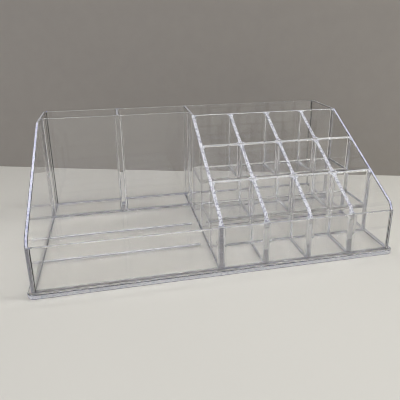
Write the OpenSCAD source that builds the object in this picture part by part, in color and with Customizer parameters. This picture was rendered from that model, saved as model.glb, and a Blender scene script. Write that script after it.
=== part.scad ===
// Vanity organizer in clear plastic. An open tray lies on the left, a rack of
// stepped lipstick pockets on the right, and tall pockets stand behind both.
// Upright panels stand on one base sheet and butt against each other. An inner
// panel flares out at each end, so that a fillet fills the corners beside it.
// +X is to the right, +Y to the back, +Z up. The origin is the middle of the
// underside of the base sheet.

/* [Case] */
// Outside width over the two end walls
body_w = 225; // [190:1:300]
// Outside depth over the front and back walls
body_d = 130; // [118:1:180]
// Height from the underside of the base to the level top edge
body_h = 80; // [72:1:120]
// Height of the front wall
front_h = 31; // [27:0.5:42]
// Height of the slope's line above the front wall, where the two would meet
slope_rise = 2.9; // [1.5:0.1:4]
// How far the nose at the foot of the slope reaches back past the fillets
nose_setback = 0.8; // [0.6:0.1:2]
// Radius of the bend between the nose and the slope
nose_r = 2; // [1:0.1:2.4]
// Depth of the level top edge, measured from the back
top_depth = 40.2; // [34:0.1:50]
// Thickness of the outer walls
wall_t = 2.2; // [1.6:0.1:3]
// Radius inside the four upright corners of the case
corner_inside_r = 0.4; // [0.2:0.1:1.2]

/* [Base] */
// Thickness of the base sheet
base_t = 3.2; // [2:0.1:5]
// How far the base sheet stands proud of the walls all round
foot_out = 2; // [1:0.1:4]
// Chamfer on the upper and lower edge of the base sheet
foot_ease = 0.6; // [0.2:0.1:0.9]

/* [Compartments] */
// Thickness of the partition, the cross walls and the dividers
divider_t = 2.4; // [1.6:0.1:3]
// Radius of the fillets where two panels meet, and of the corners of every cove
fillet_r = 1.8; // [1.4:0.1:2.5]
// Clear width of the open tray
tray_w = 106.6; // [90:0.2:125]
// Radius of the cove round the floor of every compartment
cove_r = 1.2; // [0.8:0.1:1.2]
// Clear depth of the two pockets behind the tray
rear_pocket_d = 23.6; // [18:0.2:30]
// Height of the middle row's floor above the table
middle_floor_h = 22; // [15:0.5:26]
// Height of the rear row's floor above the table
rear_floor_h = 38.8; // [30:0.2:44]
// Thickness of the raised floors
floor_t = 2.2; // [1.6:0.1:3]

/* [Tray ribs] */
// Width of a rib on the tray floor
rib_w = 1.6; // [1:0.1:2]
// Height of a rib above the tray floor
rib_h = 1.2; // [1.1:0.1:2]
// Gap between the round end of a rib and the centre partition
rib_gap = 5.2; // [2.5:0.1:12]
// Depth from the front wall to the middle of the front rib
rib_front_run = 32.4; // [24:0.2:40]
// Depth from the middle of one rib to the middle of the other
rib_pitch = 31.6; // [24:0.2:36]

/* [Hidden] */
// Rows of lipstick pockets from front to back, and pockets in each row
rows = 3;
columns = 4;
ROW_NAMES = ["front", "middle", "rear"];
DIVIDER_NAMES = ["left", "centre", "right"];
function divider_name(row, gap) = str(ROW_NAMES[row], "_row_", DIVIDER_NAMES[gap], "_divider");

$fn = 64;

// Overrun of a cut past the panels that it trims
over = 1;
// Share of the rack's back wall that each half of the bend above it takes up
bend_share = 0.45;
// Thickness left at the thin tip of a fillet or a cove
tip_t = 0.1;
// Reach of a fillet and of a cove down to that thickness
fillet_reach = reach(fillet_r);
cove_reach = reach(cove_r);
function reach(r) = r - sqrt(pow(r, 2) - pow(r - tip_t, 2));
// Run along each wall of the fill at the foot of a corner of the case
fill_run = 2 / 3 * fillet_r;
// How much rounder the corners of a raised floor are than the fillets round them
corner_play = 0.2;
clear_tint = [0.86, 0.89, 0.97, 0.45];

// Faces of the case, and the outside radius of its upright corners
corner_r = wall_t + corner_inside_r;
left_x = -body_w / 2;
right_x = body_w / 2;
front_y = -body_d / 2;
back_y = body_d / 2;

// Tray on the left of the partition, rack on its right
tray_x0 = left_x + wall_t;
tray_x1 = tray_x0 + tray_w;
rack_x0 = tray_x1 + divider_t;
rack_x1 = right_x - wall_t;
rack_w = rack_x1 - rack_x0;
inner_y0 = front_y + wall_t;
inner_y1 = back_y - wall_t;
tray_back_y = inner_y1 - rear_pocket_d - divider_t;

// The slope runs from behind the front wall up to the bend on the rack's back wall
slope_y = back_y - top_depth;
bend_y = slope_y + bend_share * divider_t;
slope_angle = atan((body_h - front_h - slope_rise) / (bend_y - inner_y0));
bend_r = bend_share * divider_t * tan(90 - slope_angle / 2);
nose_run = fillet_r + nose_setback;
nose_rise = slope_rise + nose_run * tan(slope_angle);
nose_angle = atan(nose_rise / nose_run);

// Pockets of the rack
pocket_w = (rack_w - (columns - 1) * divider_t) / columns;
pocket_d = (slope_y - inner_y0 - (rows - 1) * divider_t) / rows;
FLOOR_HEIGHTS = [base_t, middle_floor_h, rear_floor_h];
function row_y(row) = inner_y0 + row * (pocket_d + divider_t);
function rib_y(rib) = inner_y0 + rib_front_run + rib * rib_pitch;
function gap_x(gap) = rack_x0 + (gap + 1) * pocket_w + gap * divider_t;

// Rectangle with rounded corners, centred
module rounded_rect(w, d, r) {
    square([w - 2 * r, d], center = true);
    square([w, d - 2 * r], center = true);
    for (sx = [-1, 1], sy = [-1, 1])
        translate([sx * (w / 2 - r), sy * (d / 2 - r)])
            circle(r);
}

// Plan of a panel along X, centred, with a fillet on each side of both ends
module flared_strip(length, thick) {
    difference() {
        union() {
            square([length, thick], center = true);
            for (side = [-1, 1])
                translate([side * (length - fillet_r) / 2, 0])
                    square([fillet_r, thick + 2 * fillet_reach], center = true);
        }
        for (side = [-1, 1], face = [-1, 1])
            translate([side * (length / 2 - fillet_r), face * (thick / 2 + fillet_r)])
                circle(fillet_r);
    }
}

// What a radius takes off the corner between two edges, given their headings
module corner_waste(from_deg, to_deg, r) {
    half = (to_deg - from_deg) / 2;
    tangent = r / tan(half);
    difference() {
        polygon([
            [0, 0],
            tangent * [cos(from_deg), sin(from_deg)],
            tangent * [cos(to_deg), sin(to_deg)]
        ]);
        rotate(from_deg + half)
            translate([r / sin(half), 0])
                circle(r);
    }
}

// Side view of the case: low front, a nose at the foot of the slope, level top
module case_outline() {
    difference() {
        polygon([
            [front_y - over, 0],
            [front_y - over, front_h],
            [inner_y0, front_h],
            [inner_y0 + nose_run, front_h + nose_rise],
            [bend_y, body_h],
            [back_y + over, body_h],
            [back_y + over, 0]
        ]);
        translate([inner_y0 + nose_run, front_h + nose_rise])
            corner_waste(nose_angle - 180, slope_angle, nose_r);
        translate([bend_y, body_h])
            corner_waste(180 + slope_angle, 360, bend_r);
    }
}

// Panel of the given plan, standing at a height and trimmed to the side view
module trimmed_panel(foot) {
    intersection() {
        translate([0, 0, foot])
            linear_extrude(body_h - foot + over)
                children();
        rotate([90, 0, 90])
            translate([0, 0, left_x - over])
                linear_extrude(body_w + 2 * over)
                    case_outline();
    }
}

// Half section of the edge of the base sheet, from the corner centre outwards
module edge_section(r) {
    polygon([
        [0, 0],
        [r - foot_ease, 0],
        [r, foot_ease],
        [r, base_t - foot_ease],
        [r - foot_ease, base_t],
        [0, base_t]
    ]);
}

// Solid ring or slab round a rectangle: its section, drawn outwards from the
// centre of a corner, runs along the four sides and turns round the corners
module swept_round(w, d) {
    for (turn = [0, 180])
        rotate(turn) {
            translate([w / 2, d / 2, 0])
                rotate([90, 0, 0])
                    linear_extrude(d)
                        children();
            translate([-w / 2, d / 2, 0])
                rotate([90, 0, 90])
                    linear_extrude(w)
                        children();
            translate([w / 2, d / 2, 0])
                rotate_extrude(angle = 90)
                    children();
            translate([-w / 2, d / 2, 0])
                rotate(90)
                    rotate_extrude(angle = 90)
                        children();
        }
}

// Section of a cove in the corner between a floor and a wall at the radius r
module cove_section(r) {
    difference() {
        translate([r - cove_reach, 0])
            square(cove_reach);
        translate([r - cove_r, cove_r])
            circle(cove_r);
    }
}

// Cove round the floor of a compartment, given its middle and its clear size
module floor_cove(centre, size, floor_h) {
    translate([centre[0], centre[1], floor_h])
        swept_round(size[0] - 2 * fillet_r, size[1] - 2 * fillet_r)
            cove_section(fillet_r);
}

// Coves of the four pockets in a row of the rack
module row_coves(row) {
    for (column = [0 : columns - 1])
        floor_cove(
            [gap_x(column) - pocket_w / 2, row_y(row) + pocket_d / 2],
            [pocket_w, pocket_d],
            FLOOR_HEIGHTS[row]
        );
}

// Coves of the compartments that have the base sheet for a floor
module base_coves() {
    small_w = (tray_w - divider_t) / 2;
    tray_x = tray_x0 + tray_w / 2;
    tray_d = tray_back_y - inner_y0;
    rear_d = inner_y1 - slope_y - divider_t;
    floor_cove([tray_x, inner_y0 + tray_d / 2], [tray_w, tray_d], base_t);
    for (side = [-1, 1])
        floor_cove(
            [tray_x + side * (small_w + divider_t) / 2, inner_y1 - rear_pocket_d / 2],
            [small_w, rear_pocket_d],
            base_t
        );
    floor_cove([rack_x0 + rack_w / 2, inner_y1 - rear_d / 2], [rack_w, rear_d], base_t);
    row_coves(0);
}

// Foot of the four corners of the case, where the round coves fall short of the walls
module corner_fills() {
    w = body_w - 2 * wall_t;
    d = body_d - 2 * wall_t;
    translate([0, 0, base_t])
        linear_extrude(cove_reach)
            difference() {
                rounded_rect(w, d, corner_inside_r);
                square([w - 2 * fill_run, d + 2 * over], center = true);
                square([w + 2 * over, d - 2 * fill_run], center = true);
                for (sx = [-1, 1], sy = [-1, 1])
                    translate([sx * (w / 2 - fillet_r), sy * (d / 2 - fillet_r)])
                        circle(fillet_r - tip_t / 2);
            }
}

module base_sheet() {
    r = corner_r + foot_out;
    w = body_w - 2 * corner_r;
    d = body_d - 2 * corner_r;
    color(clear_tint)
        difference() {
            union() {
                translate([-w / 2, -d / 2, 0])
                    cube([w, d, base_t]);
                swept_round(w, d)
                    edge_section(r);
                base_coves();
                corner_fills();
            }
            for (rib = [0, 1])
                translate([tray_x0 - over, rib_y(rib), base_t])
                    rib_bar(over + cove_r);
        }
}

module back_wall() {
    color(clear_tint)
        translate([left_x + corner_r, inner_y1, base_t])
            cube([body_w - 2 * corner_r, wall_t, body_h - base_t]);
}

module front_wall() {
    color(clear_tint)
        translate([left_x + corner_r, front_y, base_t])
            cube([body_w - 2 * corner_r, wall_t, front_h - base_t]);
}

// End wall with the rounded corners of the case at both ends
module end_wall(strip_x) {
    color(clear_tint)
        trimmed_panel(base_t)
            intersection() {
                difference() {
                    rounded_rect(body_w, body_d, corner_r);
                    rounded_rect(body_w - 2 * wall_t, body_d - 2 * wall_t, corner_inside_r);
                }
                translate([strip_x, front_y - over])
                    square([corner_r + over, body_d + 2 * over]);
            }
}

module left_end_wall() {
    end_wall(left_x - over);
}

module right_end_wall() {
    end_wall(right_x - corner_r);
}

module centre_partition() {
    color(clear_tint)
        trimmed_panel(base_t)
            translate([tray_x1 + divider_t / 2, (inner_y0 + inner_y1) / 2])
                rotate(90)
                    flared_strip(inner_y1 - inner_y0, divider_t);
}

module tray_back_wall() {
    color(clear_tint)
        translate([tray_x0 + tray_w / 2, tray_back_y + divider_t / 2, base_t])
            linear_extrude(body_h - base_t)
                flared_strip(tray_w, divider_t);
}

module rear_pocket_divider() {
    color(clear_tint)
        translate([tray_x0 + tray_w / 2, inner_y1 - rear_pocket_d / 2, base_t])
            linear_extrude(body_h - base_t)
                rotate(90)
                    flared_strip(rear_pocket_d, divider_t);
}

// Half of a rib's section: a foot with a round crown
module rib_half_section() {
    r = rib_w / 2;
    square([r, rib_h - r]);
    translate([0, rib_h - r])
        intersection() {
            circle(r);
            square([r, r]);
        }
}

// Straight stretch of a rib, from the origin along X
module rib_bar(length) {
    rotate([90, 0, 90])
        linear_extrude(length) {
            rib_half_section();
            mirror([1, 0])
                rib_half_section();
        }
}

// Low rib across the tray floor with a round inner end, counted from the front
module tray_rib(rib) {
    length = tray_w - rib_gap - rib_w / 2;
    color(clear_tint)
        translate([tray_x0, rib_y(rib), base_t]) {
            rib_bar(length);
            translate([length, 0, 0])
                rotate_extrude()
                    rib_half_section();
        }
}

module rear_tray_rib() {
    tray_rib(1);
}

module front_tray_rib() {
    tray_rib(0);
}

// Cross wall of the rack whose front face is at the given place
module rack_cross_wall(face_y) {
    color(clear_tint)
        trimmed_panel(base_t)
            translate([rack_x0 + rack_w / 2, face_y + divider_t / 2])
                flared_strip(rack_w, divider_t);
}

module rack_back_wall() {
    rack_cross_wall(slope_y);
}

module upper_step_wall() {
    rack_cross_wall(row_y(2) - divider_t);
}

module lower_step_wall() {
    rack_cross_wall(row_y(1) - divider_t);
}

// Raised floor of one row, let in between the cross walls
module rack_floor(row) {
    color(clear_tint) {
        translate([rack_x0 + rack_w / 2, row_y(row) + pocket_d / 2, FLOOR_HEIGHTS[row] - floor_t])
            linear_extrude(floor_t)
                rounded_rect(rack_w, pocket_d, fillet_r + corner_play);
        row_coves(row);
    }
}

module rear_rack_floor() {
    rack_floor(2);
}

module middle_rack_floor() {
    rack_floor(1);
}

// Divider between two pockets of a row, standing on the floor of that row
module row_divider(row, gap) {
    color(clear_tint)
        trimmed_panel(FLOOR_HEIGHTS[row])
            translate([gap_x(gap) + divider_t / 2, row_y(row) + pocket_d / 2])
                rotate(90)
                    flared_strip(pocket_d, divider_t);
}

base_sheet();
back_wall();
front_wall();
left_end_wall();
right_end_wall();
centre_partition();
tray_back_wall();
rear_pocket_divider();
rear_tray_rib();
front_tray_rib();
rack_back_wall();
upper_step_wall();
lower_step_wall();
rear_rack_floor();
middle_rack_floor();
for (row = [0 : rows - 1], gap = [0 : columns - 2])
    row_divider(row, gap);
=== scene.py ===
"""Vanity organizer in clear plastic: its looks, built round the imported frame.

An open tray lies on the left, a rack of stepped lipstick pockets on the right,
and tall pockets stand behind both. Each upright panel, floor and rib is a piece
of its own, and laps a hair into its neighbours, as a moulded joint does.
"""

from __future__ import annotations

import logging
import math
from dataclasses import dataclass, field
from enum import Enum
from typing import Any, Callable, Sequence

import bmesh
import bpy
from mathutils import Matrix, Vector


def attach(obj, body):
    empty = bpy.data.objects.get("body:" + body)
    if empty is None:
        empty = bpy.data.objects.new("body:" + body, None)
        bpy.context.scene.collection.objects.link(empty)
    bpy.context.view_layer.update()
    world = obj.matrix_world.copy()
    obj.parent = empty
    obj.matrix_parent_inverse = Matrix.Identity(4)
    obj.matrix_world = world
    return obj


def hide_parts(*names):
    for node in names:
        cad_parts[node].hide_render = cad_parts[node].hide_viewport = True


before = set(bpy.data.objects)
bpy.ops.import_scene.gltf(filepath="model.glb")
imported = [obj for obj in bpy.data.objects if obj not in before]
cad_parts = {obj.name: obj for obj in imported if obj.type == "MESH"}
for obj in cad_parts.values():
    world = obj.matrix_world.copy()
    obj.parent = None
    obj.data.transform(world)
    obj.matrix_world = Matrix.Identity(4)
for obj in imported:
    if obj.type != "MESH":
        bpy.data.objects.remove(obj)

log = logging.getLogger("organizer")

MM = 0.001
# Millimetres by which the outline runs on past the case at both ends.
OVERRUN = 1.0
# Angle from which the edge between two faces is shaded as a sharp one.
CREASE = math.radians(40)
BODY = "root"

Plan = tuple[float, float]
Point = tuple[float, float, float]
Span = tuple[float, float]
Crown = Callable[[float], float]


class Finish(Enum):
    """Finishes of the plastic, in the order of a piece's material slots."""

    WALL = 0
    RIM = 1
    SLOPE = 2
    # Lavender slope edge of the end walls: partly the plastic's cool tint, partly a painted
    # reflection of the bluish window.
    OUTER_SLOPE = 3
    # Matt white band on the upright edge of the base sheet: a painted highlight.
    FOOT = 4
    # Matt white strips on the ribs and the tops of the coves: painted highlights.
    RIB = 5


# Sizes


@dataclass(frozen=True)
class Layout:
    """Sizes of the organizer in millimetres, the same as those of the solids."""

    body_w: float = 225.0
    body_d: float = 130.0
    body_h: float = 80.0
    front_h: float = 31.0
    slope_rise: float = 2.9
    nose_setback: float = 0.8
    nose_r: float = 2.0
    top_depth: float = 40.2
    wall_t: float = 2.2
    corner_inside_r: float = 0.4
    base_t: float = 3.2
    foot_out: float = 2.0
    foot_ease: float = 0.6
    divider_t: float = 2.4
    fillet_r: float = 1.8
    tray_w: float = 106.6
    cove_r: float = 1.2
    rear_pocket_d: float = 23.6
    middle_floor_h: float = 22.0
    rear_floor_h: float = 38.8
    floor_t: float = 2.2
    rib_w: float = 1.6
    rib_h: float = 1.2
    rib_gap: float = 5.2
    rib_front_run: float = 32.4
    rib_pitch: float = 31.6
    rows: int = 3
    columns: int = 4
    bend_share: float = 0.45
    edge_r: float = 0.5
    lap: float = 0.04

    @property
    def corner_r(self) -> float:
        """Outside radius of the upright corners."""
        return self.wall_t + self.corner_inside_r

    @property
    def left_x(self) -> float:
        """Outer face of the left end wall."""
        return -self.body_w / 2

    @property
    def right_x(self) -> float:
        """Outer face of the right end wall."""
        return self.body_w / 2

    @property
    def front_y(self) -> float:
        """Outer face of the front wall."""
        return -self.body_d / 2

    @property
    def back_y(self) -> float:
        """Outer face of the back wall."""
        return self.body_d / 2

    @property
    def tray_x0(self) -> float:
        """Left side of the tray."""
        return self.left_x + self.wall_t

    @property
    def tray_x1(self) -> float:
        """Right side of the tray."""
        return self.tray_x0 + self.tray_w

    @property
    def rack_x0(self) -> float:
        """Left side of the rack."""
        return self.tray_x1 + self.divider_t

    @property
    def rack_x1(self) -> float:
        """Right side of the rack."""
        return self.right_x - self.wall_t

    @property
    def inner_y0(self) -> float:
        """Inner face of the front wall."""
        return self.front_y + self.wall_t

    @property
    def inner_y1(self) -> float:
        """Inner face of the back wall."""
        return self.back_y - self.wall_t

    @property
    def tray_back_y(self) -> float:
        """Back of the tray."""
        return self.inner_y1 - self.rear_pocket_d - self.divider_t

    @property
    def slope_y(self) -> float:
        """Front face of the rack's back wall."""
        return self.back_y - self.top_depth

    @property
    def pocket_w(self) -> float:
        """Clear width of a lipstick pocket."""
        gaps = (self.columns - 1) * self.divider_t
        return (self.rack_x1 - self.rack_x0 - gaps) / self.columns

    @property
    def pocket_d(self) -> float:
        """Clear depth of a lipstick pocket."""
        gaps = (self.rows - 1) * self.divider_t
        return (self.slope_y - self.inner_y0 - gaps) / self.rows

    def row_y(self, row: int) -> float:
        """Front of a row of lipstick pockets."""
        return self.inner_y0 + row * (self.pocket_d + self.divider_t)

    def rib_y(self, rib: int) -> float:
        """Middle of a rib on the tray floor, counted from the front."""
        return self.inner_y0 + self.rib_front_run + rib * self.rib_pitch

    def gap_x(self, gap: int) -> float:
        """Left face of a divider of the rack."""
        return self.rack_x0 + (gap + 1) * self.pocket_w + gap * self.divider_t

    def floor_h(self, row: int) -> float:
        """Height of the floor of a row of lipstick pockets."""
        return (self.base_t, self.middle_floor_h, self.rear_floor_h)[row]


@dataclass(frozen=True)
class Outline:
    """Side view of the case: low front, a nose, the slope and the level top."""

    points: tuple[Plan, ...]

    @classmethod
    def of(cls, sizes: Layout, steps: int = 8) -> "Outline":
        """Works the outline out from the sizes.

        Args:
            sizes: Sizes of the organizer.
            steps: Straight pieces that stand for each round corner.

        Returns:
            The outline, from the front to the back.
        """
        bend_y = sizes.slope_y + sizes.bend_share * sizes.divider_t
        rise = sizes.body_h - sizes.front_h - sizes.slope_rise
        slope = math.atan(rise / (bend_y - sizes.inner_y0))
        bend_r = sizes.bend_share * sizes.divider_t * math.tan(math.pi / 2 - slope / 2)
        run = sizes.fillet_r + sizes.nose_setback
        nose_rise = sizes.slope_rise + run * math.tan(slope)
        nose = math.atan(nose_rise / run)
        tip = (sizes.inner_y0 + run, sizes.front_h + nose_rise)
        points = [(sizes.front_y - OVERRUN, sizes.front_h), (sizes.inner_y0, sizes.front_h)]
        points += cls.rounded(tip, nose, slope, sizes.nose_r, steps)
        points += cls.rounded((bend_y, sizes.body_h), slope, 0.0, bend_r, steps)
        points.append((sizes.back_y + OVERRUN, sizes.body_h))
        return cls(tuple(points))

    @staticmethod
    def rounded(
        tip: Plan, before: float, after: float, radius: float, steps: int
    ) -> list[Plan]:
        """Points of the arc that rounds a corner between two rising lines.

        Args:
            tip: Where the two lines would meet.
            before: Slope angle of the line that comes in.
            after: Slope angle of the line that goes out, which is flatter.
            radius: Radius of the arc.
            steps: Number of straight pieces.

        Returns:
            Points from the first line to the second.
        """
        reach = radius * math.tan((before - after) / 2)
        start = (tip[0] - reach * math.cos(before), tip[1] - reach * math.sin(before))
        centre = (start[0] + radius * math.sin(before), start[1] - radius * math.cos(before))
        made = []
        for step in range(steps + 1):
            angle = before + (after - before) * step / steps
            made.append(
                (centre[0] - radius * math.sin(angle), centre[1] + radius * math.cos(angle))
            )
        return made

    def height(self, y: float) -> float:
        """Height of the outline at a depth."""
        for (y0, z0), (y1, z1) in zip(self.points, self.points[1:]):
            if y <= y1:
                return z0 + (z1 - z0) * (y - y0) / (y1 - y0)
        return self.points[-1][1]

    def breaks(self, low: float, high: float) -> list[float]:
        """Depths between two limits at which the outline turns."""
        return [y for y, _ in self.points if low < y < high]


# Meshes


@dataclass
class Shell:
    """Closed surfaces of one piece, gathered ring by ring."""

    points: list[Point] = field(default_factory=list)
    faces: list[tuple[int, ...]] = field(default_factory=list)
    finishes: list[Finish] = field(default_factory=list)

    def face(self, corners: Sequence[int], finish: Finish) -> None:
        """Adds one face."""
        self.faces.append(tuple(corners))
        self.finishes.append(finish)

    def loft(
        self,
        rings: Sequence[Sequence[Point]],
        finishes: Sequence[Finish | None],
        closed: bool = False,
        steep: Finish = Finish.RIM,
        bands: Sequence[Finish] | None = None,
    ) -> None:
        """Joins rings of equally many points to one closed surface.

        Args:
            rings: The rings, each one closed in itself.
            finishes: Finish of the strip that starts at each point of a ring. None
                stands for clear where the strip is level and steep where it climbs.
            closed: True if the last ring joins up with the first, else both get caps.
            steep: Finish that a rim or a None strip takes where it climbs.
            bands: Finish from each ring to the next, instead of the finish round it.
        """
        start, size = len(self.points), len(rings[0])
        for ring in rings:
            self.points.extend(ring)
        last = len(rings) if closed else len(rings) - 1
        for turn in range(last):
            low = start + turn * size
            high = start + (turn + 1) % len(rings) * size
            for k in range(size):
                n = (k + 1) % size
                finish = bands[turn] if bands else finishes[k]
                if finish in (Finish.RIM, None) and self.climbs(low + k, high + k):
                    finish = steep
                self.face((low + k, low + n, high + n, high + k), finish or Finish.WALL)
        if not closed:
            self.face(range(start + size - 1, start - 1, -1), Finish.WALL)
            top = start + (len(rings) - 1) * size
            self.face(range(top, top + size), Finish.WALL)

    def climbs(self, a: int, b: int, least: float = 0.2) -> bool:
        """True if the way between two points rises or falls by more than a share of its run."""
        (x0, y0, z0), (x1, y1, z1) = self.points[a], self.points[b]
        return abs(z1 - z0) > least * math.hypot(x1 - x0, y1 - y0)

    def piece(self, name: str, materials: Sequence[bpy.types.Material]) -> bpy.types.Object:
        """Makes the mesh object, in metres, with true flat faces between rounds.

        Args:
            name: Name of the piece.
            materials: Materials in the order of Finish.

        Returns:
            The new object.
        """
        mesh = bpy.data.meshes.new(name)
        mesh.from_pydata([tuple(c * MM for c in p) for p in self.points], [], self.faces)
        for polygon, finish in zip(mesh.polygons, self.finishes):
            polygon.material_index = finish.value
            polygon.use_smooth = True
        for material in materials:
            mesh.materials.append(material)
        mesh.validate()
        made = bpy.data.objects.new(name, mesh)
        bpy.context.scene.collection.objects.link(made)
        self.turn_outwards(mesh)
        mesh.set_sharp_from_angle(angle=CREASE)
        even = made.modifiers.new("even_normals", "WEIGHTED_NORMAL")
        even.mode = "FACE_AREA"
        even.keep_sharp = True
        return made

    @staticmethod
    def turn_outwards(mesh: bpy.types.Mesh) -> None:
        """Turns the faces of every closed surface of a mesh outwards."""
        work = bmesh.new()
        work.from_mesh(mesh)
        bmesh.ops.recalc_face_normals(work, faces=work.faces)
        work.to_mesh(mesh)
        work.free()


def level(height: float) -> Crown:
    """A crown at one height."""
    return lambda y: height


@dataclass(frozen=True)
class Panel:
    """Upright panel that follows stations in plan, with a rounded top edge.

    Attributes:
        foot: Height of its foot.
        crown: Height of its top over the depth.
        edge_r: Radius of the two rounds of the top edge.
        steep: Finish of the top edge where it climbs.
        matt_share: Share of a level top edge that is matt, from its first face.
        arc: Straight pieces that stand for each round.
        inner: Points on the flat between the rounds.
    """

    foot: float
    crown: Crown
    edge_r: float
    steep: Finish = Finish.SLOPE
    matt_share: float = 1.0
    arc: int = 4
    inner: int = 5

    def ring(self, a: Plan, b: Plan) -> list[Point]:
        """Section of the panel between two plan points, once round.

        Args:
            a: Plan point on one face.
            b: Plan point on the other face.

        Returns:
            Points from the foot at a over the top to the foot at b.
        """
        width = math.dist(a, b)
        along = ((b[0] - a[0]) / width, (b[1] - a[1]) / width)

        def at(run: float, drop: float) -> Point:
            x, y = a[0] + along[0] * run, a[1] + along[1] * run
            return (x, y, self.crown(y) - drop)

        turns = [math.pi / 2 * k / self.arc for k in range(self.arc + 1)]
        r = self.edge_r
        near = [at(r * (1 - math.cos(t)), r * (1 - math.sin(t))) for t in turns]
        far = [at(width - r * (1 - math.cos(t)), r * (1 - math.sin(t))) for t in turns]
        flat = width - 2 * r
        middle = [at(r + flat * k / (self.inner + 1), 0) for k in range(1, self.inner + 1)]
        return [(a[0], a[1], self.foot), *near, *middle, *reversed(far), (b[0], b[1], self.foot)]

    def build(self, shell: Shell, stations: Sequence[tuple[Plan, Plan]]) -> None:
        """Adds the panel to a shell.

        The rounds of an inner panel are matt on the slope, as its flat is. Those of an
        outer wall stay clear, and show as a dark line on both sides of the flat.

        Args:
            shell: Shell that takes the surface.
            stations: Pairs of plan points along the panel, one on each face.
        """
        rings = [self.ring(a, b) for a, b in stations]
        round_edge = [None if self.steep is Finish.SLOPE else Finish.WALL] * self.arc
        matt = round(self.matt_share * (self.inner + 1))
        flat_top = [Finish.RIM] * matt + [Finish.WALL] * (self.inner + 1 - matt)
        strips = [Finish.WALL, *round_edge, *flat_top, *round_edge, Finish.WALL, Finish.WALL]
        shell.loft(rings, strips, steep=self.steep)


def flare(
    start: float, end: float, sizes: Layout, breaks: Sequence[float] = (), steps: int = 8
) -> list[tuple[float, float]]:
    """Half widths along a divider or cross wall that flares out at both ends.

    Args:
        start: Where the panel starts.
        end: Where the panel ends.
        sizes: Sizes of the organizer.
        breaks: Further places that need a station.
        steps: Straight pieces in each fillet.

    Returns:
        Pairs of the place along the panel and its half width there.
    """
    radius, half = sizes.fillet_r, sizes.divider_t / 2

    def half_at(place: float) -> float:
        gap = min(place - start, end - place)
        if gap >= radius:
            return half
        return half + radius - math.sqrt(max(radius**2 - (radius - gap) ** 2, 0.0))

    turns = [math.pi / 2 * step / steps for step in range(steps + 1)]
    gaps = [radius * (1 - math.cos(turn)) for turn in turns]
    places = [start + gap for gap in gaps] + [end - gap for gap in gaps] + list(breaks)
    made = {round(place, 6): half_at(place) for place in places}
    made[start - sizes.edge_r] = half + radius
    made[end + sizes.edge_r] = half + radius
    return sorted(made.items())


QUARTERS = ((1, 1), (-1, 1), (-1, -1), (1, -1))


def rounded_outline(w: float, d: float, radii: Sequence[float], steps: int = 8) -> list[Plan]:
    """Outline of a rectangle about the origin, with a radius for each of its QUARTERS."""
    made = []
    for quarter, ((sx, sy), r) in enumerate(zip(QUARTERS, radii)):
        x, y = sx * (w / 2 - r), sy * (d / 2 - r)
        for step in range(steps + 1):
            angle = math.pi / 2 * (quarter + step / steps)
            made.append((x + r * math.cos(angle), y + r * math.sin(angle)))
    return made


def add_slab(
    shell: Shell,
    centre: Plan,
    size: Plan,
    radius: float,
    levels: Sequence[tuple[float, float]],
    bands: Sequence[Finish] | None = None,
) -> None:
    """Adds a flat slab with round corners.

    Args:
        shell: Shell that takes the surface.
        centre: Middle of the slab in plan.
        size: Width and depth of the slab.
        radius: Radius of its corners.
        levels: Pairs of height and inset from the outline, from the bottom up.
        bands: Finish of the side between each level and the next.
    """
    rings = []
    for height, inset in levels:
        w, d = size[0] - 2 * inset, size[1] - 2 * inset
        outline = rounded_outline(w, d, [radius - inset] * len(QUARTERS))
        rings.append([(centre[0] + x, centre[1] + y, height) for x, y in outline])
    shell.loft(rings, [Finish.WALL] * len(rings[0]), bands=bands)


def add_cove(
    shell: Shell, centre: Plan, size: Plan, floor: float, sizes: Layout, steps: int = 6
) -> None:
    """Adds the cove round the floor of a compartment.

    Args:
        shell: Shell that takes the surface.
        centre: Middle of the compartment in plan.
        size: Clear width and depth of the compartment.
        floor: Height of its floor.
        sizes: Sizes of the organizer.
        steps: Straight pieces in the cove.
    """
    r, lap = sizes.cove_r, sizes.lap
    profile = [(-lap, -lap), (r, -lap)]
    for step in range(steps + 1):
        angle = math.pi / 2 * step / steps
        profile.append((r * (1 - math.sin(angle)), r * (1 - math.cos(angle))))
    profile.append((-lap, r))
    bands = [Finish.WALL] * len(profile)
    # The top band of the cove is a matt white strip: a painted highlight along the cove.
    bands[steps + 1] = Finish.RIB
    outer = [is_case_corner(centre, size, quarter, sizes) for quarter in QUARTERS]
    rings = []
    for inset, height in profile:
        radii = [
            (sizes.corner_inside_r if far and inset < 0 else sizes.fillet_r) - inset
            for far in outer
        ]
        outline = rounded_outline(size[0] - 2 * inset, size[1] - 2 * inset, radii)
        rings.append([(centre[0] + x, centre[1] + y, floor + height) for x, y in outline])
    shell.loft(rings, [Finish.WALL] * len(rings[0]), closed=True, bands=bands)


def is_case_corner(centre: Plan, size: Plan, quarter: Plan, sizes: Layout) -> bool:
    """True if a corner of a compartment is one of the four corners of the case."""
    x = abs(centre[0] + quarter[0] * size[0] / 2)
    y = abs(centre[1] + quarter[1] * size[1] / 2)
    near = sizes.lap
    return sizes.rack_x1 - x < near and sizes.inner_y1 - y < near


# Shader nodes


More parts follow.
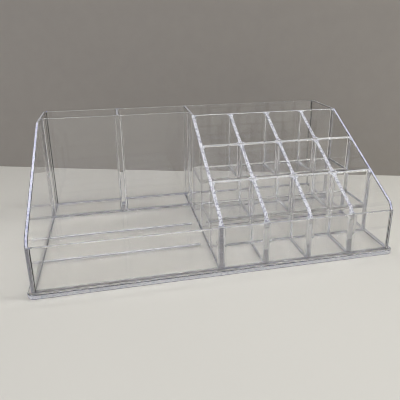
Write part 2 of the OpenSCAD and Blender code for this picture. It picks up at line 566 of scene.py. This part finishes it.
@dataclass(frozen=True)
class Value:
    """A number in a shader, on which Python's signs add Math nodes."""

    graph: "Graph"
    socket: bpy.types.NodeSocket

    def _math(self, operation: str, *terms: "Value | float") -> "Value":
        """Adds one Math node."""
        inputs = {index: term for index, term in enumerate(terms)}
        return self.graph.node("ShaderNodeMath", {"operation": operation}, inputs)

    def __add__(self, other: "Value | float") -> "Value":
        """Sum."""
        return self._math("ADD", self, other)

    def __radd__(self, other: float) -> "Value":
        """Sum with a number in front."""
        return self._math("ADD", other, self)

    def __sub__(self, other: "Value | float") -> "Value":
        """Difference."""
        return self._math("SUBTRACT", self, other)

    def __rsub__(self, other: float) -> "Value":
        """Difference from a number in front."""
        return self._math("SUBTRACT", other, self)

    def __mul__(self, other: "Value | float") -> "Value":
        """Product."""
        return self._math("MULTIPLY", self, other)

    def __rmul__(self, other: float) -> "Value":
        """Product with a number in front."""
        return self._math("MULTIPLY", other, self)


@dataclass(frozen=True)
class Graph:
    """Node tree of one material, filled through a single method."""

    tree: bpy.types.NodeTree

    @classmethod
    def of(cls, material: bpy.types.Material) -> "Graph":
        """Empties a material's node tree and takes it over."""
        material.use_nodes = True
        material.node_tree.nodes.clear()
        return cls(material.node_tree)

    def node(
        self,
        kind: str,
        settings: dict[str, Any] | None = None,
        inputs: dict[Any, Any] | None = None,
        output: Any = 0,
    ) -> Value:
        """Adds a node.

        Args:
            kind: Type of the node.
            settings: Its settings, which are set before its sockets.
            inputs: Values or links of its sockets, by name or number.
            output: Name or number of the output that is wanted.

        Returns:
            The wanted output, or for an output node a stand-in without a socket.
        """
        made = self.tree.nodes.new(kind)
        for name, setting in (settings or {}).items():
            setattr(made, name, setting)
        for name, given in (inputs or {}).items():
            if isinstance(given, Value):
                self.tree.links.new(given.socket, made.inputs[name])
            else:
                made.inputs[name].default_value = given
        return Value(self, made.outputs[output] if len(made.outputs) else None)

    def noise(self, scale: float, detail: float = 1.0) -> Value:
        """Noise over the object's own coordinates."""
        place = self.node("ShaderNodeTexCoord", output="Object")
        return self.node(
            "ShaderNodeTexNoise", inputs={"Vector": place, "Scale": scale, "Detail": detail}
        )

    def finish(self, surface: Value, volume: Value | None = None) -> None:
        """Adds the output node."""
        ends = {"Surface": surface}
        if volume is not None:
            ends["Volume"] = volume
        self.node("ShaderNodeOutputMaterial", inputs=ends)


# Finishes


@dataclass(frozen=True)
class ClearPlastic:
    """Clear moulded plastic with a faint cool tint in its depth."""

    name: str = "clear_wall"
    colour: tuple[float, float, float] = (0.98, 0.98, 0.98)
    ior: float = 1.5
    roughness: float = 0.0
    depth_colour: tuple[float, float, float] = (0.80, 0.83, 1.0)
    depth_density: float = 3.0
    wave_scale: float = 45.0
    wave_lift: float = 0.00001

    def material(self) -> bpy.types.Material:
        """Makes the material."""
        made = bpy.data.materials.new(self.name)
        graph = Graph.of(made)
        height = graph.noise(self.wave_scale) * self.wave_lift
        bump = graph.node("ShaderNodeBump", inputs={"Distance": 1.0, "Height": height})
        surface = graph.node(
            "ShaderNodeBsdfPrincipled",
            inputs={
                "Base Color": (*self.colour, 1.0),
                "Roughness": self.roughness,
                "IOR": self.ior,
                "Transmission Weight": 1.0,
                "Normal": bump,
            },
        )
        depth = graph.node(
            "ShaderNodeVolumeAbsorption",
            inputs={"Color": (*self.depth_colour, 1.0), "Density": self.depth_density},
        )
        graph.finish(surface, depth)
        return made


# Besides sheared edges, this finish also makes the painted highlights of ribs, coves and the base
# sheet's edge, and the painted reflection on the end walls' slopes.
@dataclass(frozen=True)
class FrostedEdge:
    """Sheared edge of the plastic, which scatters the light inside the panel."""

    name: str
    colour: tuple[float, float, float] = (0.93, 0.93, 0.95)
    dark: tuple[float, float, float] = (0.93, 0.93, 0.95)
    clearness: float = 0.5
    ior: float = 1.5
    roughness: float = 0.2
    speck_scale: float = 1000.0
    speck_share: float = 0.46
    speck_edge: float = 0.02
    speck_detail: float = 3.0
    lift: float = 0.00003

    def material(self) -> bpy.types.Material:
        """Makes the material."""
        made = bpy.data.materials.new(self.name)
        graph = Graph.of(made)
        noise = graph.noise(self.speck_scale, self.speck_detail)
        specks = graph.node(
            "ShaderNodeMapRange",
            {"interpolation_type": "SMOOTHSTEP"},
            {
                "Value": noise,
                "From Min": self.speck_share - self.speck_edge,
                "From Max": self.speck_share + self.speck_edge,
            },
        )
        colour = graph.node(
            "ShaderNodeMix",
            {"data_type": "RGBA"},
            {0: specks, 6: (*self.dark, 1.0), 7: (*self.colour, 1.0)},
            2,
        )
        bump = graph.node(
            "ShaderNodeBump", inputs={"Distance": 1.0, "Height": noise * self.lift}
        )
        surface = graph.node(
            "ShaderNodeBsdfPrincipled",
            inputs={
                "Base Color": colour,
                "Roughness": self.roughness,
                "IOR": self.ior,
                "Transmission Weight": self.clearness,
                "Normal": bump,
            },
        )
        graph.finish(surface)
        return made


@dataclass(frozen=True)
class Paint:
    """Plain matt finish of the table and the wall, with a faint mottle."""

    name: str
    colour: tuple[float, float, float]
    roughness: float
    mottle: float = 0.03
    scale: float = 8.0
    one_sided: bool = False
    detail: float = 4.0

    def material(self) -> bpy.types.Material:
        """Makes the material."""
        made = bpy.data.materials.new(self.name)
        graph = Graph.of(made)
        dark = tuple(c * (1 - self.mottle) for c in self.colour)
        mottle = graph.noise(self.scale, self.detail)
        colour = graph.node(
            "ShaderNodeMix",
            {"data_type": "RGBA"},
            {0: mottle, 6: (*dark, 1.0), 7: (*self.colour, 1.0)},
            2,
        )
        surface = graph.node(
            "ShaderNodeBsdfPrincipled",
            inputs={"Base Color": colour, "Roughness": self.roughness},
        )
        if self.one_sided:
            behind = graph.node("ShaderNodeNewGeometry", output="Backfacing")
            surface = graph.node(
                "ShaderNodeMixShader",
                inputs={0: behind, 1: surface, 2: graph.node("ShaderNodeBsdfTransparent")},
            )
        graph.finish(surface)
        return made


# Sub-assemblies


@dataclass
class SubAssembly:
    """Pieces that are made and dressed together.

    Attributes:
        sizes: Sizes of the organizer.
        outline: Side view of the case.
        finishes: Materials in the order of Finish.
        made: Pieces made so far.
        level_matt: Share of a level top edge that is matt, from its front.
    """

    sizes: Layout
    outline: Outline
    finishes: Sequence[bpy.types.Material]
    made: list[bpy.types.Object] = field(default_factory=list)
    level_matt: float = 0.6

    def dress(self, node: str, shell: Shell) -> None:
        """Makes one piece of a shell and lets it stand for a node of the frame.

        Args:
            node: Name of the node.
            shell: Surfaces of the piece.
        """
        piece = shell.piece(f"clear_{node}", self.finishes)
        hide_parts(node)
        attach(piece, BODY)
        self.made.append(piece)
        log.info("%s: %d faces", piece.name, len(piece.data.polygons))

    def panel(
        self, foot: float, crown: Crown, steep: Finish = Finish.SLOPE, matt_share: float = 1.0
    ) -> Panel:
        """Panel that laps a hair into what it stands on."""
        return Panel(foot - self.sizes.lap, crown, self.sizes.edge_r, steep, matt_share)

    def across(
        self, node: str, x0: float, x1: float, middle: float, foot: float, crown: Crown
    ) -> None:
        """Makes a flared panel that runs across the case.

        Args:
            node: Node that the piece stands for.
            x0: Its left end.
            x1: Its right end.
            middle: Depth of its centre plane.
            foot: Height of its foot.
            crown: Height of its top over the depth.
        """
        shell = Shell()
        stations = [
            ((x, middle - half), (x, middle + half)) for x, half in flare(x0, x1, self.sizes)
        ]
        self.panel(foot, crown, matt_share=self.level_matt).build(shell, stations)
        self.dress(node, shell)

    def lengthways(self, node: str, y0: float, y1: float, middle: float, foot: float) -> None:
        """Makes a flared panel that runs from front to back under the outline.

        Args:
            node: Node that the piece stands for.
            y0: Its front end.
            y1: Its back end.
            middle: Place of its centre plane across the case.
            foot: Height of its foot.
        """
        shell = Shell()
        breaks = self.outline.breaks(y0, y1)
        stations = [
            ((middle - half, y), (middle + half, y))
            for y, half in flare(y0, y1, self.sizes, breaks)
        ]
        self.panel(foot, self.outline.height).build(shell, stations)
        self.dress(node, shell)


@dataclass
class Case(SubAssembly):
    """Base sheet and the four outer walls.

    Attributes:
        corner_steps: Straight pieces in each upright corner.
        edge_steps: Straight pieces in each round of the base sheet's edge.
        end_margin: Turns of the outline nearer than this to a corner are left out.
    """

    corner_steps: int = 12
    edge_steps: int = 5
    end_margin: float = 0.01

    def build(self) -> None:
        """Makes every piece of the case."""
        self.base_sheet()
        self.long_wall("back_wall", self.sizes.inner_y1, self.sizes.body_h)
        self.long_wall("front_wall", self.sizes.front_y, self.sizes.front_h)
        self.end_wall("left_end_wall", -1)
        self.end_wall("right_end_wall", 1)

    def base_sheet(self) -> None:
        """Makes the sheet with its rounded edge and the coves on it."""
        s, shell = self.sizes, Shell()
        r = s.foot_ease
        turns = [math.pi / 2 * k / self.edge_steps for k in range(self.edge_steps + 1)]
        low = [(r * (1 - math.sin(t)), r * (1 - math.cos(t))) for t in turns]
        rise = [(height, inset) for inset, height in low]
        levels = rise + [(s.base_t - height, inset) for height, inset in reversed(rise)]
        bands = [Finish.WALL] * (len(levels) - 1)
        # The upright band of the sheet's edge takes the painted highlight.
        bands[self.edge_steps] = Finish.FOOT
        size = (s.body_w + 2 * s.foot_out, s.body_d + 2 * s.foot_out)
        add_slab(shell, (0.0, 0.0), size, s.corner_r + s.foot_out, levels, bands)
        for centre, clear in self.floors():
            add_cove(shell, centre, clear, s.base_t, s)
        self.dress("base_sheet", shell)

    def floors(self) -> list[tuple[Plan, Plan]]:
        """Middle and clear size of each compartment that stands on the base sheet."""
        s = self.sizes
        tray_x, tray_d = (s.tray_x0 + s.tray_x1) / 2, s.tray_back_y - s.inner_y0
        small_w = (s.tray_w - s.divider_t) / 2
        rear_y = s.inner_y1 - s.rear_pocket_d / 2
        rack_x, rack_w = (s.rack_x0 + s.rack_x1) / 2, s.rack_x1 - s.rack_x0
        rack_d = s.inner_y1 - s.slope_y - s.divider_t
        made = [((tray_x, s.inner_y0 + tray_d / 2), (s.tray_w, tray_d))]
        for side in (-1, 1):
            x = tray_x + side * (small_w + s.divider_t) / 2
            made.append(((x, rear_y), (small_w, s.rear_pocket_d)))
        made.append(((rack_x, s.inner_y1 - rack_d / 2), (rack_w, rack_d)))
        for column in range(s.columns):
            x = s.gap_x(column) - s.pocket_w / 2
            made.append(((x, s.inner_y0 + s.pocket_d / 2), (s.pocket_w, s.pocket_d)))
        return made

    def long_wall(self, node: str, y0: float, top: float) -> None:
        """Makes the front or the back wall between the round corners.

        Args:
            node: Node that the piece stands for.
            y0: Its front face.
            top: Height of its top edge.
        """
        s, shell = self.sizes, Shell()
        reach = s.body_w / 2 - s.corner_r + s.edge_r
        stations = [((x, y0), (x, y0 + s.wall_t)) for x in (-reach, reach)]
        self.panel(s.base_t, level(top), matt_share=self.level_matt).build(shell, stations)
        self.dress(node, shell)

    def end_wall(self, node: str, side: int) -> None:
        """Makes an end wall with the round corners at both of its ends.

        Args:
            node: Node that the piece stands for.
            side: -1 for the left one, 1 for the right one.
        """
        s, shell = self.sizes, Shell()
        x = side * (s.body_w / 2 - s.corner_r)
        stations = []
        for end in (-1, 1):
            y = end * (s.body_d / 2 - s.corner_r)
            turns = [math.pi / 2 * k / self.corner_steps for k in range(self.corner_steps + 1)]
            ring = [self.spoke((x, y), side * math.sin(t), end * math.cos(t)) for t in turns]
            far = [(px - side * s.edge_r, py) for px, py in ring[0]]
            ring.insert(0, (far[0], far[1]))
            if end < 0:
                stations += ring
                inside = s.body_d / 2 - s.corner_r - self.end_margin
                wall = side * s.body_w / 2
                for depth in self.outline.breaks(-inside, inside):
                    stations.append(((wall, depth), (wall - side * s.wall_t, depth)))
            else:
                stations += reversed(ring)
        # The end walls' slope edges are lavender, partly for the plastic's tint and partly as a
        # painted reflection of the bluish window.
        wall = self.panel(s.base_t, self.outline.height, Finish.OUTER_SLOPE)
        wall.build(shell, stations)
        self.dress(node, shell)

    def spoke(self, centre: Plan, dx: float, dy: float) -> tuple[Plan, Plan]:
        """Outer and inner plan point of a round corner in one direction."""
        outer, inner = self.sizes.corner_r, self.sizes.corner_inside_r
        return (
            (centre[0] + outer * dx, centre[1] + outer * dy),
            (centre[0] + inner * dx, centre[1] + inner * dy),
        )


@dataclass
class Tray(SubAssembly):
    """Partition, back wall, pocket divider and ribs of the tray.

    Attributes:
        rib_steps: Straight pieces in each quarter of a rib's rounds.
        rib_shine: Strips of a rib that take the matt white finish of its painted highlight: its
            front flank and half its crown.
        rib_tip: Share of its width that a rib keeps at the very end.
    """

    rib_steps: int = 8
    rib_shine: int = 9
    rib_tip: float = 0.02

    def build(self) -> None:
        """Makes every piece of the tray."""
        s = self.sizes
        middle = s.tray_x1 + s.divider_t / 2
        self.lengthways("centre_partition", s.inner_y0, s.inner_y1, middle, s.base_t)
        self.across(
            "tray_back_wall",
            s.tray_x0,
            s.tray_x1,
            s.tray_back_y + s.divider_t / 2,
            s.base_t,
            level(s.body_h),
        )
        middle = (s.tray_x0 + s.tray_x1) / 2
        start = s.inner_y1 - s.rear_pocket_d
        self.lengthways("rear_pocket_divider", start, s.inner_y1, middle, s.base_t)
        self.rib("rear_tray_rib", 1)
        self.rib("front_tray_rib", 0)

    def rib(self, node: str, number: int) -> None:
        """Makes a low rib with a round crown and a round inner end.

        Args:
            node: Node that the piece stands for.
            number: Number of the rib, counted from the front.
        """
        s, shell = self.sizes, Shell()
        r, foot = s.rib_w / 2, s.base_t - s.lap
        y = s.rib_y(number)
        end = s.tray_x1 - s.rib_gap - r
        turns = [math.pi / 2 * k / self.rib_steps for k in range(self.rib_steps + 1)]
        stations = [(s.tray_x0 - s.edge_r, r)]
        stations += [(end + r * math.sin(t), r * max(math.cos(t), self.rib_tip)) for t in turns]
        rings = []
        for x, w in stations:
            ring = [(x, y - w, foot)]
            for k in range(2 * self.rib_steps + 1):
                angle = math.pi / 2 * k / self.rib_steps
                crown = s.base_t + s.rib_h - r + w * math.sin(angle)
                ring.append((x, y - w * math.cos(angle), crown))
            ring.append((x, y + w, foot))
            rings.append(ring)
        finishes = [Finish.WALL] * len(rings[0])
        # The front flank and half the crown get the painted highlight strip.
        for k in range(self.rib_shine):
            finishes[k] = Finish.RIB
        shell.loft(rings, finishes)
        self.dress(node, shell)


@dataclass
class Rack(SubAssembly):
    """Cross walls, raised floors and dividers of the lipstick pockets."""

    row_names: tuple[str, ...] = ("front", "middle", "rear")
    divider_names: tuple[str, ...] = ("left", "centre", "right")

    def build(self) -> None:
        """Makes every piece of the rack."""
        s = self.sizes
        self.cross_wall("rack_back_wall", s.slope_y)
        self.cross_wall("upper_step_wall", s.row_y(2) - s.divider_t)
        self.cross_wall("lower_step_wall", s.row_y(1) - s.divider_t)
        self.raised_floor("rear_rack_floor", 2)
        self.raised_floor("middle_rack_floor", 1)
        for row, row_name in enumerate(self.row_names):
            start = s.row_y(row)
            for gap, gap_name in enumerate(self.divider_names):
                node = f"{row_name}_row_{gap_name}_divider"
                middle = s.gap_x(gap) + s.divider_t / 2
                self.lengthways(node, start, start + s.pocket_d, middle, s.floor_h(row))

    def cross_wall(self, node: str, face_y: float) -> None:
        """Makes a cross wall whose front face is at the given depth."""
        s = self.sizes
        middle = face_y + s.divider_t / 2
        self.across(node, s.rack_x0, s.rack_x1, middle, s.base_t, self.outline.height)

    def raised_floor(self, node: str, row: int) -> None:
        """Makes the floor of a row, let in between the cross walls, with its coves.

        Args:
            node: Node that the piece stands for.
            row: Number of the row, counted from the front.
        """
        s, shell = self.sizes, Shell()
        top, y = s.floor_h(row), s.row_y(row) + s.pocket_d / 2
        size = (s.rack_x1 - s.rack_x0 + 2 * s.lap, s.pocket_d + 2 * s.lap)
        centre = ((s.rack_x0 + s.rack_x1) / 2, y)
        add_slab(shell, centre, size, s.fillet_r + s.lap, [(top - s.floor_t, 0.0), (top, 0.0)])
        for column in range(s.columns):
            x = s.gap_x(column) - s.pocket_w / 2
            add_cove(shell, (x, y), (s.pocket_w, s.pocket_d), top, s)
        self.dress(node, shell)


# Studio


@dataclass(frozen=True)
class Lamp:
    """Soft rectangular lamp."""

    name: str
    place: Point
    aim: Point
    size: Plan
    power: float
    colour: tuple[float, float, float] = (1.0, 1.0, 1.0)

    def light(self) -> None:
        """Adds the lamp to the scene."""
        data = bpy.data.lights.new(self.name, "AREA")
        data.shape = "RECTANGLE"
        data.size, data.size_y = self.size
        data.energy = self.power
        data.color = self.colour
        made = bpy.data.objects.new(self.name, data)
        bpy.context.scene.collection.objects.link(made)
        made.location = self.place
        made.rotation_mode = "QUATERNION"
        way = Vector(self.aim) - Vector(self.place)
        made.rotation_quaternion = way.to_track_quat("-Z", "Y")


@dataclass(frozen=True)
class Viewpoint:
    """Camera at the photograph's viewing angle."""

    place: Point = (-0.06054, -0.29234, 0.14827)
    heading: float = -0.2332
    dip: float = 0.3390
    roll: float = 0.0016
    focal: float = 441.63
    centre: Plan = (215.95, 173.22)
    picture: int = 400
    sensor: float = 36.0
    clip: Span = (0.01, 50.0)

    def place_camera(self) -> None:
        """Adds the camera and makes it the scene's."""
        az, el = self.heading, self.dip
        ahead = Vector(
            (-math.sin(az) * math.cos(el), math.cos(az) * math.cos(el), -math.sin(el))
        )
        right = Vector((math.cos(az), math.sin(az), 0.0))
        up = right.cross(ahead)
        cos, sin = math.cos(self.roll), math.sin(self.roll)
        turned = (right * cos + up * sin, up * cos - right * sin, -ahead)
        data = bpy.data.cameras.new("camera")
        made = bpy.data.objects.new("camera", data)
        bpy.context.scene.collection.objects.link(made)
        pose = Matrix(turned).transposed().to_4x4()
        pose.translation = Vector(self.place)
        made.matrix_world = pose
        data.sensor_width = self.sensor
        data.lens = self.focal / self.picture * self.sensor
        data.shift_x = (self.picture / 2 - self.centre[0]) / self.picture
        data.shift_y = (self.centre[1] - self.picture / 2) / self.picture
        data.clip_start, data.clip_end = self.clip
        bpy.context.scene.camera = made


@dataclass(frozen=True)
class Studio:
    """Table, wall, room and lamps round the organizer.

    Attributes:
        table: Finish of the table.
        wall: Finish of the wall, which shows on its front only.
        drop: How far the table lies below the foot.
        wall_foot: Plan point in the middle of the wall's foot.
        wall_yaw: Turn of the wall in degrees.
        wall_h: Height of the wall.
        reach: Half the width of table and wall.
        horizon: Light between the windows.
        window: Light of the windows.
        windows: Number of windows round the room.
        slow_windows: Number of slow swings that make the windows uneven.
        slow_phase: Turn of the slow swings.
        slow_share: Strength of the slow swings.
        window_edge: Where the sum of both swings starts and ends to be a window.
        ceiling_edge: Height of the way up where the ceiling starts and is full.
        ceiling: Light of the ceiling.
        backdrop: Colour that the camera sees past the wall.
        lamps: Lamps over the table and beside it.
    """

    table: Paint = Paint("table", (0.68, 0.66, 0.60), 0.55)
    wall: Paint = Paint("wall", (0.36, 0.33, 0.285), 0.9, 0.09, 90.0, one_sided=True)
    drop: float = 0.0003
    wall_foot: Plan = (-0.18025, 0.19072)
    wall_yaw: float = -17.23
    wall_h: float = 0.5
    reach: float = 4.0
    horizon: tuple[float, float, float] = (0.11, 0.11, 0.16)
    window: tuple[float, float, float] = (1.35, 1.38, 1.55)
    windows: int = 7
    slow_windows: float = 2.0
    slow_phase: float = 1.0
    slow_share: float = 0.5
    window_edge: Span = (0.4, 0.55)
    ceiling_edge: Span = (0.2, 0.5)
    ceiling: tuple[float, float, float] = (0.36, 0.365, 0.37)
    backdrop: tuple[float, float, float] = (0.24, 0.22, 0.19)
    lamps: tuple[Lamp, ...] = (
        Lamp("front_tube", (-0.3, -0.9, 1.5), (-0.3, -0.9, 0.0), (1.5, 0.2), 1.0),
        Lamp("middle_tube", (0.3, -0.2, 1.5), (0.3, -0.2, 0.0), (1.5, 0.2), 7.4),
        Lamp("rear_tube", (-0.2, 0.42, 1.5), (-0.2, 0.42, 0.0), (1.5, 0.12), 5.0),
        Lamp("side_tube", (0.75, -0.25, 0.7), (0.25, 0.05, 0.0), (0.12, 0.9), 3.0),
        Lamp("window", (-1.6, -0.7, 0.7), (0.0, 0.0, 0.0), (0.6, 0.9), 4.2, (0.7, 0.74, 1.0)),
    )

    def build(self) -> None:
        """Adds table, wall, room and lamps."""
        yaw = math.radians(self.wall_yaw)
        along = (math.cos(yaw) * self.reach, math.sin(yaw) * self.reach)
        x, y = self.wall_foot
        left, right = (x - along[0], y - along[1]), (x + along[0], y + along[1])
        z = -self.drop
        table = [(self.reach * sx, self.reach * sy, z) for sx, sy in QUARTERS]
        self.sheet("table", table, self.table)
        wall = [(*left, z), (*right, z), (*right, self.wall_h), (*left, self.wall_h)]
        self.sheet("wall", wall, self.wall)
        self.room()
        for lamp in self.lamps:
            lamp.light()

    def room(self) -> None:
        """Lets a dim horizon with bright windows and a pale ceiling stand for the room."""
        world = bpy.data.worlds.new("room")
        bpy.context.scene.world = world
        world.use_nodes = True
        world.node_tree.nodes.clear()
        graph = Graph(world.node_tree)
        way = graph.node("ShaderNodeTexCoord", output="Generated")
        across, along, height = (
            graph.node("ShaderNodeSeparateXYZ", inputs={0: way}, output=axis) for axis in range(3)
        )
        turn = graph.node("ShaderNodeMath", {"operation": "ARCTAN2"}, {0: across, 1: along})
        wave = graph.node("ShaderNodeMath", {"operation": "SINE"}, {0: turn * self.windows})
        far = turn * self.slow_windows + self.slow_phase
        slow = graph.node("ShaderNodeMath", {"operation": "SINE"}, {0: far})
        glass = self.step(graph, wave + self.slow_share * slow, *self.window_edge)
        low = self.mix(graph, glass, self.horizon, self.window)
        high = self.step(graph, height, *self.ceiling_edge)
        colour = self.mix(graph, high, low, self.ceiling)
        seen = graph.node("ShaderNodeLightPath", output="Is Camera Ray")
        colour = self.mix(graph, seen, colour, self.backdrop)
        sky = graph.node("ShaderNodeBackground", inputs={"Color": colour})
        graph.node("ShaderNodeOutputWorld", inputs={"Surface": sky})

    @staticmethod
    def step(graph: Graph, value: Value, low: float, high: float) -> Value:
        """Soft step from 0 to 1 between two values."""
        return graph.node(
            "ShaderNodeMapRange",
            {"interpolation_type": "SMOOTHSTEP"},
            {"Value": value, "From Min": low, "From Max": high},
        )

    @staticmethod
    def mix(graph: Graph, share: Value, first: Any, second: Any) -> Value:
        """Mix of two colours, each one a plain colour or a link."""
        ends = [end if isinstance(end, Value) else (*end, 1.0) for end in (first, second)]
        inputs = {0: share, 6: ends[0], 7: ends[1]}
        return graph.node("ShaderNodeMix", {"data_type": "RGBA"}, inputs, 2)

    def sheet(self, name: str, corners: Sequence[Point], paint: Paint) -> None:
        """Adds one flat sheet of the stage.

        Args:
            name: Its name.
            corners: Its four corners, in metres.
            paint: Its finish.
        """
        mesh = bpy.data.meshes.new(name)
        mesh.from_pydata(list(corners), [], [tuple(range(len(corners)))])
        mesh.materials.append(paint.material())
        made = bpy.data.objects.new(name, mesh)
        bpy.context.scene.collection.objects.link(made)


@dataclass(frozen=True)
class LightPaths:
    """How far light is followed through the many clear layers."""

    total: int = 48
    through: int = 48
    gloss: int = 24
    matt: int = 4
    sharpness: float = 1.0

    def apply(self) -> None:
        """Sets the scene's bounces and its plain view of colours."""
        scene = bpy.context.scene
        scene.cycles.max_bounces = self.total
        scene.cycles.transmission_bounces = self.through
        scene.cycles.transparent_max_bounces = self.through
        scene.cycles.glossy_bounces = self.gloss
        scene.cycles.diffuse_bounces = self.matt
        scene.cycles.blur_glossy = 0.0
        scene.cycles.filter_width = self.sharpness
        scene.view_settings.view_transform = "Standard"


def main() -> None:
    """Builds the organizer piece by piece, then the studio round it."""
    logging.basicConfig(level=logging.INFO, format="%(message)s")
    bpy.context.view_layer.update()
    layout = Layout()
    outline = Outline.of(layout)
    dressing = {
        Finish.WALL: ClearPlastic(),
        Finish.RIM: FrostedEdge("clear_rim", clearness=0.6),
        Finish.SLOPE: FrostedEdge(
            "clear_slope", colour=(0.95, 0.95, 0.99), dark=(0.34, 0.34, 0.4), clearness=0.22,
            speck_share=0.485, speck_edge=0.03,
        ),
        # Lavender colour and specks: partly the plastic's cool tint, partly a painted reflection
        # of the bluish window.
        Finish.OUTER_SLOPE: FrostedEdge(
            "clear_outer_slope_tint_and_reflection", colour=(0.86, 0.87, 1.0), dark=(0.5, 0.51, 0.74), clearness=0.2,
            speck_share=0.475, speck_edge=0.03,
        ),
        # Painted highlight along the base sheet's edge: a matt white band with darker specks.
        Finish.FOOT: FrostedEdge(
            "clear_foot_painted_highlight", colour=(0.95, 0.95, 0.95), dark=(0.6, 0.61, 0.68), clearness=0.4
        ),
        # Painted highlight of the ribs and coves: a matt white strip.
        Finish.RIB: FrostedEdge("clear_rib_painted_highlight", colour=(0.98, 0.98, 0.98), clearness=0.75),
    }
    finishes = [dressing[finish].material() for finish in Finish]
    for part in (
        Case(layout, outline, finishes),
        Tray(layout, outline, finishes),
        Rack(layout, outline, finishes),
    ):
        part.build()
        log.info("%s: %d pieces", type(part).__name__, len(part.made))
    Studio().build()
    Viewpoint().place_camera()
    LightPaths().apply()


if __name__ == "__main__":
    main()
